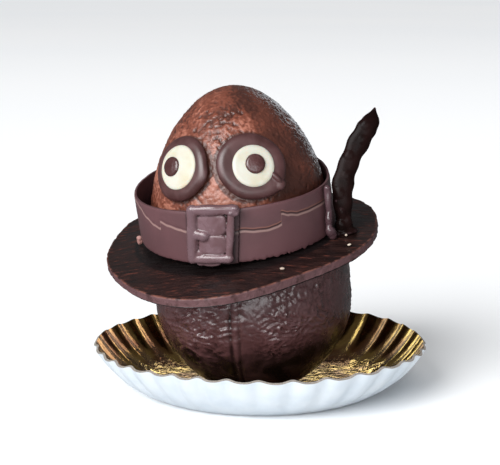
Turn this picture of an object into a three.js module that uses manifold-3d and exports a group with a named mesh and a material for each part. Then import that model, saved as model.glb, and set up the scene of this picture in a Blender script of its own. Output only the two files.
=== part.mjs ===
// A moulded chocolate egg figure in a fluted paper case: a half egg standing in the case, a tilted
// brim disc on it, a band with a buckle, the pointed half egg with two eyes, and a feather.
// Millimetres, +Z up. The origin is the centre of the case's underside and the face looks to -Y.
// Azimuths run from -Y (0 degrees) towards +X (90 degrees).
import * as THREE from "three";
import { mergeVertices } from "three/addons/utils/BufferGeometryUtils.js";
import Module from "manifold-3d";

const wasm = await Module();
wasm.setup();
const { clamp, degToRad, lerp, smoothstep } = THREE.MathUtils;

// ---------------------------------------------------------------- driving dimensions

const GAP = 0.3; // left between pieces that touch

const CASE = {
  baseRadius: 58,
  bellyRadius: 74,
  bellyHeight: 6,
  rimRadius: 85,
  height: 23.4,
  card: 0.9,
  flutes: 40,
  fluteDepth: 1.4,
  fluteStart: 56, // the radius from which the pleats begin to rise
};

// An egg is widest at its own z = 0, with one half height below and another above.
const LOWER_EGG = {
  place: [-3.4, -0.85, 48],
  radius: 50.3,
  below: 50,
  above: 90,
  taper: 0.08,
  wrinkle: 8,
  relief: 0.8,
};

// The brim, the band and all above them stand in one tilted frame.
const HAT = { place: [-9.9, -7.8, 78.1], tiltBack: 12.2, tiltSide: -5 };

const BRIM = {
  radius: 71.8,
  thick: 4,
  edgeRound: 1.2,
  plateauRadius: 50,
  plateauHeight: 2.2,
  outline: [
    { reach: 1.2, count: 1, peak: -123 },
    { reach: 1.7, count: 2, peak: 22 },
    { reach: 4.1, count: 3, peak: -9 },
    { reach: 0.6, count: 4, peak: 44 },
    { reach: 1.8, count: 5, peak: 0 },
  ],
  calmFrom: -0.2, // cosine of the azimuth behind which the outline runs out into a plain circle
};

const BAND = {
  place: [0.9, 4.8, 0],
  outerRadius: 50.5,
  thick: 1.8,
  top: 29.9,
  topWaves: [
    { reach: 1.5, count: 1, peak: -71 },
    { reach: 1.1, count: 2, peak: 13 },
  ],
  bottom: 4.4,
  bottomWaves: [{ reach: 1.7, count: 1, peak: -79 }],
  dent: { reach: -2.4, peak: 108, spread: 20 },
  lapEnd: 16,
  lapStart: -26,
};

const BUCKLE = {
  azimuth: 0.7,
  height: 20.3,
  lean: -3,
  slant: 0.1,
  halfWidth: 11.8,
  halfHeight: 14.8,
  openWidth: 6.4,
  openHeight: 9.8,
  openShift: 0.6,
  squareness: 5,
  barBack: 1.2,
  barFront: 3.2,
  plate: 1,
  pillow: 0.8,
  prong: { length: 4.8, height: 3, across: -4.6, up: 0.6 },
};

const UPPER_EGG = {
  place: [2.2, 5.6, 20],
  leanBack: -1.5,
  leanSide: 4,
  radius: 44.4,
  below: 50,
  above: 57.5,
  taper: 0.17,
  wrinkle: 7,
  relief: 0.6,
  foot: 2.2,
};

const EYES = [
  {
    side: "left",
    azimuth: -29.4,
    height: 24.6,
    discRadius: 15.6,
    white: [-0.1, 0.3],
    whiteRadius: 10.9,
    pupil: [-3.2, -0.1],
    lobes: [
      { reach: 0.9, peak: 80, spread: 16 },
      { reach: 0.8, peak: 180, spread: 30 },
      { reach: 0.7, peak: -10, spread: 30 },
    ],
  },
  {
    side: "right",
    azimuth: 24.6,
    height: 26.4,
    discRadius: 16.3,
    white: [1.6, -0.2],
    whiteRadius: 10.2,
    pupil: [2.4, 0.5],
    lobes: [
      { reach: 3, peak: 45, spread: 20 },
      { reach: -1, peak: -45, spread: 30 },
    ],
  },
];
const EYE = {
  discThick: 3,
  sunk: 1.2,
  whiteThick: 1.2,
  pupilRadius: 4.8,
  pupilThick: 1.7,
};

const FEATHER = {
  faces: [0.24, -0.95, 0.2],
  spine: [
    [56, -1.8, 2.4],
    [56.8, -1.6, 14.3],
    [57.4, 2.5, 25.7],
    [62, 8, 36.6],
    [67.6, 13.3, 46.8],
    [71.2, 16.5, 52.3],
    [73.7, 19.3, 57.7],
  ],
  quillWidth: 2.8,
  halfWidth: 5,
  halfDepth: 2.7,
  barbs: 6,
  barbReach: 0.1,
};

const BEAD = {
  spine: [
    [51.5, -9.2, 24.5],
    [51.3, -10.2, 16],
    [50.8, -12, 8],
    [52, -10.8, 3],
  ],
  halfWidth: 1.5,
  footWidth: 2.4,
};

const CHOCOLATE = {
  dark: { color: 0x4a2c2b, roughness: 0.35 },
  brim: { color: 0x35201c, roughness: 0.55 },
  band: { color: 0x69494c, roughness: 0.45 },
  milk: { color: 0x6e3d2e, roughness: 0.5 },
  eye: { color: 0x3a2427, roughness: 0.4 },
  feather: { color: 0x23131a, roughness: 0.3 },
  white: { color: 0xe9e4c9, roughness: 0.45 },
};
const PAPER = { color: 0xe4ecf2, roughness: 0.6 };

// ---------------------------------------------------------------- shaping

// One closed body: shared corners merged, slivers that have two equal corners dropped.
function welded(geometry) {
  geometry.deleteAttribute("normal");
  geometry.deleteAttribute("uv");
  const body = mergeVertices(geometry);
  const corners = body.index.array;
  const kept = [];
  for (let i = 0; i < corners.length; i += 3) {
    const [a, b, c] = [corners[i], corners[i + 1], corners[i + 2]];
    if (a !== b && b !== c && c !== a) kept.push(a, b, c);
  }
  body.setIndex(kept);
  body.computeVertexNormals();
  return body;
}

// The same body with each corner moved by a function that changes the point it is given.
function moved(geometry, move) {
  const places = geometry.attributes.position;
  const point = new THREE.Vector3();
  for (let i = 0; i < places.count; i += 1) {
    point.fromBufferAttribute(places, i);
    move(point);
    places.setXYZ(i, point.x, point.y, point.z);
  }
  return welded(geometry);
}

// A body turned about Z from a profile of [radius, height] pairs, then moved corner by corner:
// move(azimuth, radius, height) gives the new radius and height.
function turned(profile, sides, move) {
  const points = profile.map(([radius, height]) => new THREE.Vector2(radius, height));
  const blank = new THREE.LatheGeometry(points, sides).rotateX(Math.PI / 2);
  return moved(blank, (point) => {
    const azimuth = azimuthOf(point);
    const [radius, height] = move(azimuth, Math.hypot(point.x, point.y), point.z);
    point.set(radius * Math.sin(azimuth), -radius * Math.cos(azimuth), height);
  });
}

// A body drawn out along a curve from pole to pole: section(t, side) gives its half width to
// that side (-1 or 1) and its half depth, for t from 0 to 1.
function drawnOut(curve, faces, sides, steps, section) {
  return moved(new THREE.SphereGeometry(1, sides, steps), (point) => {
    const t = Math.acos(clamp(point.y, -1, 1)) / Math.PI;
    const turn = Math.atan2(point.z, point.x);
    const tangent = curve.getTangent(t);
    const across = new THREE.Vector3().crossVectors(tangent, faces).normalize();
    const back = new THREE.Vector3().crossVectors(tangent, across);
    const [width, depth] = section(t, Math.sign(Math.cos(turn)));
    point.copy(curve.getPoint(t));
    point.addScaledVector(across, width * Math.cos(turn));
    point.addScaledVector(back, depth * Math.sin(turn));
  });
}

function azimuthOf(point) {
  return Math.atan2(point.x, -point.y);
}

// Slow waves round a ring, each with its reach, its count of peaks and the azimuth of one peak.
function waves(list, azimuth) {
  const wave = ({ reach, count, peak }) => reach * Math.cos(count * (azimuth - degToRad(peak)));
  return list.reduce((sum, each) => sum + wave(each), 0);
}

// A single swelling (or dent) of a ring at a peak azimuth, fading on both sides of it.
function bulge({ reach, peak, spread }, azimuth) {
  const width = degToRad(spread);
  return reach * Math.exp((Math.cos(azimuth - degToRad(peak)) - 1) / (width * width));
}

// The crumpled look of chocolate from a creased mould, from -1 to 1 over the surface.
function crumple(point, size) {
  const [x, y, z] = [point.x / size, point.y / size, point.z / size];
  const drift = Math.sin(1.3 * x + 0.7 * z) + Math.sin(1.1 * y - 0.8 * z);
  const creases = Math.sin(3.1 * z + 1.6 * drift) * Math.cos(2.3 * x + 1.9 * y + drift);
  const dents = Math.sin(2.9 * x - 1.7 * z) * Math.sin(2.7 * y + 1.3 * z);
  return 0.6 * creases + 0.4 * dents;
}

// A piece in the scene, by name.
function piece(name, geometry, { color, roughness }, place = [0, 0, 0]) {
  const material = new THREE.MeshStandardMaterial({ color, roughness, metalness: 0 });
  const mesh = new THREE.Mesh(geometry, material);
  mesh.name = name;
  mesh.position.set(...place);
  return mesh;
}

// ---------------------------------------------------------------- joining and cutting

function asSolid(geometry, matrix = new THREE.Matrix4()) {
  const body = geometry.clone().applyMatrix4(matrix);
  const vertProperties = new Float32Array(body.attributes.position.array);
  const triVerts = new Uint32Array(body.index.array);
  return new wasm.Manifold(new wasm.Mesh({ numProp: 3, vertProperties, triVerts }));
}

function asGeometry(solid) {
  const { vertProperties, triVerts } = solid.getMesh();
  const geometry = new THREE.BufferGeometry();
  geometry.setAttribute("position", new THREE.BufferAttribute(vertProperties, 3));
  geometry.setIndex(new THREE.BufferAttribute(triVerts, 1));
  geometry.computeVertexNormals();
  return geometry;
}

// Takes the tools away from a mesh, wherever both stand in the scene.
function carve(mesh, ...tools) {
  const home = mesh.matrixWorld.clone().invert();
  const cut = (solid, tool) => {
    const way = home.clone().multiply(tool.matrixWorld);
    return solid.subtract(asSolid(tool.geometry, way));
  };
  mesh.geometry = asGeometry(tools.reduce(cut, asSolid(mesh.geometry)));
}

// A big block that fills all below (-1) or above (1) a height of a frame.
function halfSpace(frame, height, side) {
  const size = 400;
  const block = welded(new THREE.BoxGeometry(size, size, size));
  block.translate(0, 0, height + (side * size) / 2);
  const tool = new THREE.Mesh(block);
  tool.matrixWorld.copy(frame.matrixWorld);
  return tool;
}

// ---------------------------------------------------------------- paper case

// Thin card with a round flat base and a flared wall, pleated more and more towards the rim.
function paperCase() {
  const { baseRadius, bellyRadius, bellyHeight, rimRadius, height, card, flutes } = CASE;
  const wall = new THREE.QuadraticBezierCurve(
    new THREE.Vector2(baseRadius, 0),
    new THREE.Vector2(bellyRadius, bellyHeight),
    new THREE.Vector2(rimRadius, height),
  );
  const stations = [0, 0.3, 0.65, 1];
  const outside = stations.map((t) => wall.getPoint(t).toArray());
  const inside = stations.map((t) => {
    const along = wall.getTangent(t);
    const point = wall.getPoint(t);
    return [point.x - card * along.y, Math.max(card, point.y + card * along.x)];
  });
  const profile = [[0, 0], ...outside, ...inside.reverse(), [0, card]];
  const sidesPerFlute = 4;
  const geometry = turned(profile, sidesPerFlute * flutes, (azimuth, radius, z) => {
    const up = smoothstep(radius, CASE.fluteStart, rimRadius);
    const pleat = CASE.fluteDepth * up * Math.sin(flutes * azimuth);
    return [radius + pleat, z];
  });
  return piece("paper_case", geometry, PAPER);
}

// ---------------------------------------------------------------- eggs

// Radius of an egg at a height over its widest ring.
function eggRadius(egg, height) {
  const rise = height / (height > 0 ? egg.above : egg.below);
  const round = Math.sqrt(Math.max(0, 1 - rise * rise));
  return egg.radius * round * (1 - egg.taper * Math.max(0, rise));
}

// The whole egg with its crumpled skin, grown by some margin.
function eggSkin(egg, sides, rings, margin = 0) {
  const profile = [];
  for (let i = 0; i <= rings; i += 1) {
    const swing = Math.PI * (i / rings - 0.5);
    const height = Math.sin(swing) * (swing > 0 ? egg.above : egg.below);
    profile.push([i % rings === 0 ? 0 : eggRadius(egg, height), height]);
  }
  return turned(profile, sides, (azimuth, radius, height) => {
    const skin = new THREE.Vector3(radius * Math.sin(azimuth), -radius * Math.cos(azimuth), height);
    const grow = 1 + (margin + egg.relief * crumple(skin, egg.wrinkle)) / skin.length();
    return [radius * grow, height * grow];
  });
}

// The blunt half: flat under its foot, cut off under the brim.
function lowerEgg(hat) {
  const mesh = piece("lower_egg", eggSkin(LOWER_EGG, 68, 28), CHOCOLATE.dark, LOWER_EGG.place);
  mesh.updateMatrixWorld();
  const ground = halfSpace(new THREE.Object3D(), CASE.card + GAP, -1);
  carve(mesh, ground, halfSpace(hat, -BRIM.thick - GAP, 1));
  return mesh;
}

// The pointed half, standing on the brim inside the band.
function upperEgg(hat) {
  const geometry = eggSkin(UPPER_EGG, 68, 26);
  const mesh = piece("upper_egg", geometry, CHOCOLATE.milk, UPPER_EGG.place);
  mesh.rotation.set(degToRad(UPPER_EGG.leanBack), degToRad(UPPER_EGG.leanSide), 0);
  hat.add(mesh);
  hat.updateMatrixWorld(true);
  carve(mesh, halfSpace(hat, UPPER_EGG.foot + GAP, -1));
  return mesh;
}

// ---------------------------------------------------------------- brim and band

// A poured disc of uneven outline with a low plateau that carries the egg and the band.
function brim() {
  const { radius, thick, edgeRound, plateauRadius, plateauHeight } = BRIM;
  const profile = [
    [0, -thick],
    [plateauRadius, -thick],
    [radius - edgeRound, -thick],
    [radius, edgeRound - thick],
    [radius, -edgeRound],
    [radius - edgeRound, 0],
    [lerp(plateauRadius, radius, 0.5), plateauHeight * 0.45],
    [plateauRadius, plateauHeight],
    [0, plateauHeight],
  ];
  const geometry = turned(profile, 80, (azimuth, r, z) => {
    const calm = smoothstep(Math.cos(azimuth), -1, BRIM.calmFrom);
    const stretch = 1 + (calm * waves(BRIM.outline, azimuth)) / (radius - plateauRadius);
    return [r > plateauRadius ? plateauRadius + (r - plateauRadius) * stretch : r, z];
  });
  return piece("hat_brim", geometry, CHOCOLATE.brim);
}

// How far the lapping end of the band stands out: it rises slowly and ends in a step.
function lap(azimuth) {
  const degrees = THREE.MathUtils.radToDeg(azimuth);
  return degrees > BAND.lapEnd ? 0 : BAND.thick * smoothstep(degrees, BAND.lapStart, 0);
}

// A strip bent to a ring, one end lapped over the other, with an uneven upper and lower edge.
function band() {
  const inner = BAND.outerRadius - BAND.thick;
  const outer = BAND.outerRadius;
  const profile = [[inner, 0], [outer, 0], [outer, 1], [inner, 1], [inner, 0]];
  const geometry = turned(profile, 96, (azimuth, radius, edge) => {
    const top = BAND.top + waves(BAND.topWaves, azimuth);
    const bottom = BAND.bottom + waves(BAND.bottomWaves, azimuth);
    const out = radius > (inner + outer) / 2 ? lap(azimuth) : 0;
    return [radius + out + bulge(BAND.dent, azimuth), edge > 0.5 ? top : bottom];
  });
  return piece("hat_band", geometry, CHOCOLATE.band, BAND.place);
}

// ---------------------------------------------------------------- buckle

// A square outline with round corners, at an angle about its middle.
function roundedSquare(angle, halfWidth, halfHeight) {
  const [c, s] = [Math.cos(angle), Math.sin(angle)];
  const power = BUCKLE.squareness;
  const sum = Math.abs(c / halfWidth) ** power + Math.abs(s / halfHeight) ** power;
  const reach = sum ** (-1 / power);
  return [reach * c, reach * s];
}

// Bends a drawing (across, up, out) round the band and leans it.
function wrap(point) {
  const lean = degToRad(BUCKLE.lean);
  const across = point.x * Math.cos(lean) - point.y * Math.sin(lean) + BUCKLE.slant * point.y;
  const up = point.x * Math.sin(lean) + point.y * Math.cos(lean);
  const bend = BAND.outerRadius + BAND.thick + GAP;
  const azimuth = across / bend + degToRad(BUCKLE.azimuth);
  const reach = bend + point.z;
  point.set(reach * Math.sin(azimuth), -reach * Math.cos(azimuth), BUCKLE.height + up);
}

// The piped frame: a ring whose bars run between the outer outline and the opening.
function buckleFrame() {
  return moved(new THREE.TorusGeometry(1, 0.5, 8, 36), (point) => {
    const angle = Math.atan2(point.y, point.x);
    const along = Math.hypot(point.x, point.y) - 0.5;
    const [outX, outY] = roundedSquare(angle, BUCKLE.halfWidth, BUCKLE.halfHeight);
    const [inX, inY] = roundedSquare(angle, BUCKLE.openWidth, BUCKLE.openHeight);
    const depth = point.z > 0 ? BUCKLE.barFront - BUCKLE.barBack : BUCKLE.barBack;
    const x = lerp(inX + BUCKLE.openShift, outX, along);
    point.set(x, lerp(inY, outY, along), BUCKLE.barBack + 2 * point.z * depth);
    wrap(point);
  });
}

// The plate seen through the opening, swollen into an upper and a lower pillow.
function bucklePlate() {
  const [width, height] = [BUCKLE.openWidth + 2, BUCKLE.openHeight + 2];
  return moved(new THREE.SphereGeometry(1, 18, 8).rotateX(Math.PI / 2), (point) => {
    const [x, y] = roundedSquare(Math.atan2(point.y, point.x), width, height);
    const out = Math.hypot(point.x, point.y);
    const pillow = BUCKLE.pillow * Math.abs(Math.sin((Math.PI * y * out) / height));
    const front = Math.max(0, point.z) * pillow;
    point.set(x * out + BUCKLE.openShift, y * out, BUCKLE.plate * (1 + point.z) * 0.5 + front);
    wrap(point);
  });
}

// The blunt prong that grows out of the left bar.
function buckleProng() {
  const { length, height, across, up } = BUCKLE.prong;
  return moved(new THREE.SphereGeometry(1, 10, 6), (point) => {
    point.set(point.x * length + across, point.y * height + up, point.z * 1.5 + 1.6);
    wrap(point);
  });
}

function buckle() {
  const [frame, plate, prong] = [buckleFrame(), bucklePlate(), buckleProng()].map((body) => asSolid(body));
  return piece("hat_buckle", asGeometry(frame.add(plate).add(prong)), CHOCOLATE.band, BAND.place);
}

// ---------------------------------------------------------------- feather and bead

function curveThrough(points) {
  return new THREE.CatmullRomCurve3(points.map((point) => new THREE.Vector3(...point)));
}

// A piped feather: a stout quill, short barbs along both edges and a pointed tip.
function feather() {
  const faces = new THREE.Vector3(...FEATHER.faces).normalize();
  const geometry = drawnOut(curveThrough(FEATHER.spine), faces, 12, 44, (t, side) => {
    const taper = Math.sqrt(smoothstep(t, 0, 0.06) * (1 - smoothstep(t, 0.8, 1)));
    const width = lerp(FEATHER.quillWidth, FEATHER.halfWidth, smoothstep(t, 0.1, 0.26));
    const barb = 1 + FEATHER.barbReach * Math.sin(2 * Math.PI * (FEATHER.barbs * t + 0.2 * side));
    return [width * taper * barb, FEATHER.halfDepth * taper];
  });
  return piece("hat_feather", geometry, CHOCOLATE.feather);
}

// The bead of chocolate piped down the band beside the feather, with a drop at its foot.
function seamBead() {
  const faces = new THREE.Vector3(...FEATHER.faces).normalize();
  const geometry = drawnOut(curveThrough(BEAD.spine), faces, 8, 14, (t) => {
    const round = Math.sqrt(Math.sin(Math.PI * t));
    const width = lerp(BEAD.halfWidth, BEAD.footWidth, smoothstep(t, 0.6, 0.95)) * round;
    return [width, BEAD.halfWidth * round];
  });
  return piece("seam_bead", geometry, CHOCOLATE.band);
}

// ---------------------------------------------------------------- eyes

// A frame on the upper egg's skin: X to the side, Y up the egg, Z out of it.
function seatOnEgg(azimuthDegrees, height) {
  const azimuth = degToRad(azimuthDegrees);
  const step = 0.1;
  const radius = eggRadius(UPPER_EGG, height);
  const slope = (eggRadius(UPPER_EGG, height + step) - radius) / step;
  const side = new THREE.Vector3(Math.cos(azimuth), Math.sin(azimuth), 0);
  const out = new THREE.Vector3(Math.sin(azimuth), -Math.cos(azimuth), -slope).normalize();
  const up = new THREE.Vector3().crossVectors(out, side);
  const seat = new THREE.Group();
  seat.position.set(radius * Math.sin(azimuth), -radius * Math.cos(azimuth), height);
  seat.quaternion.setFromRotationMatrix(new THREE.Matrix4().makeBasis(side, up, out));
  return seat;
}

// A poured drop: flat below, with a full round edge and a nearly flat or domed top.
function drop(radius, thick, dome, sides, outline = () => 0) {
  const profile = [
    [0, 0],
    [radius - 0.3 * thick, 0],
    [radius, 0.4 * thick],
    [radius - 0.1 * thick, 0.75 * thick],
    [radius - 0.5 * thick, thick],
    [radius * 0.5, thick + 0.75 * dome],
    [0, thick + dome],
  ];
  return turned(profile, sides, (azimuth, r, z) => [r + (r / radius) * outline(azimuth), z]);
}

// One eye: a dark disc pressed onto the egg, a white drop on it and a dark pupil on that.
function eye(egg, { side, azimuth, height, discRadius, white, whiteRadius, pupil, lobes }) {
  const seat = seatOnEgg(azimuth, height);
  const outline = (angle) => lobes.reduce((sum, each) => sum + bulge(each, angle), 0);
  const disc = piece(
    `eye_disc_${side}`,
    drop(discRadius, EYE.discThick + EYE.sunk, 0, 40, outline),
    CHOCOLATE.eye,
    [0, 0, -EYE.sunk],
  );
  const whiteFoot = EYE.discThick + GAP;
  const pupilFoot = whiteFoot + EYE.whiteThick + GAP;
  seat.add(
    disc,
    piece(`eye_white_${side}`, drop(whiteRadius, EYE.whiteThick, 0, 28), CHOCOLATE.white, [
      ...white,
      whiteFoot,
    ]),
    piece(`pupil_${side}`, drop(EYE.pupilRadius, EYE.pupilThick * 0.5, EYE.pupilThick * 0.5, 18),
      CHOCOLATE.eye, [...pupil, pupilFoot]),
  );
  egg.add(seat);
  egg.updateMatrixWorld(true);
  const skin = new THREE.Mesh(eggSkin(UPPER_EGG, 68, 26, GAP));
  skin.matrixWorld.copy(egg.matrixWorld);
  carve(disc, skin);
}

// ---------------------------------------------------------------- the whole figure

function figure() {
  const group = new THREE.Group();
  const hat = new THREE.Group();
  hat.position.set(...HAT.place);
  hat.rotation.set(degToRad(HAT.tiltBack), degToRad(HAT.tiltSide), 0, "YXZ");
  hat.updateMatrixWorld();
  group.add(paperCase(), lowerEgg(hat), hat);
  hat.add(brim(), band(), buckle(), feather(), seamBead());
  const egg = upperEgg(hat);
  EYES.forEach((each) => eye(egg, each));
  return group;
}

export default figure();
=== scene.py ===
from math import atan2, cos, degrees, exp, hypot, pi, radians, sin, sqrt

import bmesh
import bpy
from mathutils import Euler, Matrix, Vector, noise


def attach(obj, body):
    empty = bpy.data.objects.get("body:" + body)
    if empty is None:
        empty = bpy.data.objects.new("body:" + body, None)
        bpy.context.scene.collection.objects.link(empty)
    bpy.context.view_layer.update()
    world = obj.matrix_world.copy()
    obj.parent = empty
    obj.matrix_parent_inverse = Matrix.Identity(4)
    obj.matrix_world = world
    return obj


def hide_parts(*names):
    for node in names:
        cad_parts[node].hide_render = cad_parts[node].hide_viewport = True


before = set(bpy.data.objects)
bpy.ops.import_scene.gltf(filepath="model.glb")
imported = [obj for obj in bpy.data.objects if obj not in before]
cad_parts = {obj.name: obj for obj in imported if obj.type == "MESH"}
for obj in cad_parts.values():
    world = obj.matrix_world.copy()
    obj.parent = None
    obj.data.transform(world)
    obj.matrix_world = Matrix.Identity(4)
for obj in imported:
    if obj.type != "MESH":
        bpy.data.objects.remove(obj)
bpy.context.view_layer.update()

noise.seed_set(1)        # without it the creases and crumbs would differ at every run

# ---------------------------------------------------------------- the paper case
# One round of card, white outside and lined with gold foil, pressed into a shallow dish
# with a fluted wall. It is cut with a plain edge, so the grey card shows round the rim.
MM = 0.001
CASE_FLOOR = Vector((58, 0)) * MM          # (radius, height) where the wall leaves the floor
CASE_BELLY = Vector((74, 6)) * MM          # pulls the wall into its curve
CASE_RIM = Vector((84.8, 23.2)) * MM
CASE_CARD = 1.25 * MM
CASE_FLUTES = 35
FLUTE_OUT, FLUTE_DOWN = 0.5 * MM, 0.6 * MM    # how far each fold leans out and dips at the rim
FLUTE_SWAY = 0.16                          # how unevenly the flutes are spaced
PAPER_WHITE = (190, 196, 201)              # a shade below real white card, for strong lights
PAPER_SHADE = (182, 190, 197)
CARD_GREY = (112, 105, 99)
CARD_PALE = (142, 134, 126)
FOIL_GOLD = (158, 126, 70)
FOIL_DEEP = (108, 70, 40)


def paint(red, green, blue):
    """A colour given in screen values, as the linear colour that a shader takes."""
    channels = [value / 255 for value in (red, green, blue)]
    return [c / 12.92 if c < 0.04045 else ((c + 0.055) / 1.055) ** 2.4 for c in channels] + [1]


class Wire:
    """A shader socket that can be reckoned with: every operator adds its Math node."""

    def __init__(self, tree, socket=None):
        self.tree = tree
        self.socket = socket

    def node(self, kind, settings=None, inputs=None, output=0):
        """Adds a node with its settings, then its values or links, and gives one output."""
        made = self.tree.nodes.new("ShaderNode" + kind)
        for name, value in (settings or {}).items():
            setattr(made, name, value)
        for name, value in (inputs or {}).items():
            if isinstance(value, Wire):
                self.tree.links.new(value.socket, made.inputs[name])
            else:
                made.inputs[name].default_value = value
        return Wire(self.tree, made.outputs[output])

    def math(self, operation, *values):
        return self.node("Math", {"operation": operation}, dict(enumerate(values)))

    def __add__(self, other):
        return self.math("ADD", self, other)

    def __sub__(self, other):
        return self.math("SUBTRACT", self, other)

    def __rsub__(self, other):
        return self.math("SUBTRACT", other, self)

    def __mul__(self, other):
        return self.math("MULTIPLY", self, other)

    __radd__ = __add__
    __rmul__ = __mul__

    def ramp(self, low, high, to_low=0.0, to_high=1.0):
        """This value eased from one range into another."""
        ends = {"Value": self, "From Min": low, "From Max": high, "To Min": to_low, "To Max": to_high}
        return self.node("MapRange", {"interpolation_type": "SMOOTHSTEP"}, ends)

    def mix(self, first, second):
        """Two colours mixed by this value."""
        return self.node("Mix", {"data_type": "RGBA"}, {0: self, 6: first, 7: second}, output=2)

    def speckle(self, scale, detail=2.0, stretch=(1, 1, 1), distortion=0.0):
        """A soft noise over the piece; scale counts its grains in a metre."""
        where = self.node("TexCoord", output=3)
        where = self.node("Mapping", inputs={"Vector": where, "Scale": stretch})
        grains = {"Vector": where, "Scale": scale, "Detail": detail, "Distortion": distortion}
        return self.node("TexNoise", inputs=grains)

    def attribute(self, name):
        return self.node("Attribute", {"attribute_name": name}, output=2)

    def bump(self, height, strength, distance):
        return self.node("Bump", inputs={"Height": height, "Strength": strength, "Distance": distance})


def new_material(name, **constants):
    """A material with its constant sockets set; gives it, its shader's sockets and a wire."""
    material = bpy.data.materials.new(name)
    material.use_nodes = True
    shader = material.node_tree.nodes["Principled BSDF"]
    for socket, value in constants.items():
        shader.inputs[socket.replace("_", " ")].default_value = value
    return material, shader.inputs, Wire(material.node_tree)


def feed(sockets, **wires):
    """Links wires into the shader's sockets."""
    for socket, wire in wires.items():
        wire.tree.links.new(wire.socket, sockets[socket.replace("_", " ")])


def spun(profile, steps, finer=1):
    """A round skin: (radius, height) points turned about Z, each face then split finer."""
    bm = bmesh.new()
    corners = [bm.verts.new((0, -radius, height)) for radius, height in profile]
    edges = [bm.edges.new(pair) for pair in zip(corners, corners[1:])]
    bmesh.ops.spin(bm, geom=corners + edges, cent=(0, 0, 0), axis=(0, 0, 1),
                   angle=2 * pi, steps=steps, use_merge=True)
    if finer > 1:
        bmesh.ops.subdivide_edges(bm, edges=bm.edges, cuts=finer - 1, use_grid_fill=True)
    bmesh.ops.remove_doubles(bm, verts=bm.verts, dist=0.001 * MM)
    bmesh.ops.recalc_face_normals(bm, faces=bm.faces)
    return bm


def azimuth_of(point):
    """The angle about Z, from the front (-Y) towards the right (+X)."""
    return atan2(point.x, -point.y)


def smoothstep(value, low, high):
    part = min(1, max(0, (value - low) / (high - low)))
    return part * part * (3 - 2 * part)


def finished(name, bm, *materials, crease=50):
    """Turns the modelled mesh into a piece of the figure, smooth but for its sharp edges."""
    mesh = bpy.data.meshes.new(name)
    bm.to_mesh(mesh)
    bm.free()
    mesh.shade_smooth()
    mesh.set_sharp_from_angle(angle=radians(crease))
    for material in materials:
        mesh.materials.append(material)
    made = bpy.data.objects.new(name, mesh)
    bpy.context.scene.collection.objects.link(made)
    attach(made, "root")
    return made


def flute(azimuth):
    """The wave of the wall, about 1 where a flute stands out; broad lobes, narrow valleys."""
    turn = CASE_FLUTES * (azimuth + 0.25 * FLUTE_SWAY * sin(3 * azimuth + 1))
    uneven = 1 + 0.45 * noise.noise(Vector((4 * sin(azimuth), 4 * cos(azimuth), 2)))
    return uneven * (cos(turn) - 0.18 * cos(2 * turn))


def case_mesh():
    wall = [(1 - t) ** 2 * CASE_FLOOR + 2 * t * (1 - t) * CASE_BELLY + t * t * CASE_RIM
            for t in (step / 12 for step in range(13))]
    bm = spun([(0, 0), (CASE_FLOOR.x * 0.5, 0)] + [tuple(point) for point in wall], 280, 2)
    for vert in bm.verts:
        radius = hypot(vert.co.x, vert.co.y)
        if radius < CASE_FLOOR.x:
            continue
        azimuth = azimuth_of(vert.co)
        rise = smoothstep(radius, CASE_FLOOR.x - 3 * MM, CASE_RIM.x)
        push = rise * flute(azimuth)
        sag = 0.35 * MM * rise * sin(5 * azimuth + 2)
        radius += push * FLUTE_OUT
        height = max(0, vert.co.z - push * FLUTE_DOWN + sag)
        vert.co = (radius * sin(azimuth), -radius * cos(azimuth), height)
    if sum(face.normal.z * face.calc_area() for face in bm.faces) > 0:
        bmesh.ops.reverse_faces(bm, faces=bm.faces)
    bmesh.ops.solidify(bm, geom=bm.faces[:], thickness=CASE_CARD)
    rumpled = bm.verts.layers.float.new("rumpled")
    for vert in bm.verts:
        vert[rumpled] = 1 - smoothstep(hypot(vert.co.x, vert.co.y), CASE_FLOOR.x, CASE_RIM.x - 8 * MM)
    for face in bm.faces:
        middle = face.calc_center_median()
        outward = face.normal.x * middle.x + face.normal.y * middle.y
        face.material_index = 0 if face.normal.z < 0 else (2 if outward > 0.2 * middle.length else 1)
    return bm


def paper_material():
    material, sockets, wire = new_material("case_paper", Roughness=0.62)
    blotch = wire.speckle(90, 3)
    feed(sockets, Base_Color=blotch.ramp(0.35, 0.7).mix(paint(*PAPER_WHITE), paint(*PAPER_SHADE)),
         Normal=wire.bump(wire.speckle(2600, 2), 0.15, 0.1 * MM))
    return material


def foil_material():
    material, sockets, wire = new_material("gold_foil", Metallic=1.0)
    blotch = wire.speckle(60, 3, distortion=0.6)
    crumple = wire.speckle(420, 3, stretch=(1, 1, 0.4)) * 0.35
    rumple = wire.speckle(150, 3, distortion=0.8) * wire.attribute("rumpled") * 2.4
    feed(sockets, Base_Color=blotch.ramp(0.4, 0.65).mix(paint(*FOIL_GOLD), paint(*FOIL_DEEP)),
         Roughness=blotch.ramp(0.3, 0.7, 0.12, 0.24), Normal=wire.bump(crumple + rumple, 1.0, 0.5 * MM))
    return material


def card_material():
    material, sockets, wire = new_material("card_edge", Roughness=0.8)
    fibre = wire.speckle(1500, 2)
    feed(sockets, Base_Color=fibre.ramp(0.3, 0.7).mix(paint(*CARD_GREY), paint(*CARD_PALE)))
    return material


case = finished("gilt_case", case_mesh(), paper_material(), foil_material(), card_material())
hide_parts("paper_case")

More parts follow.
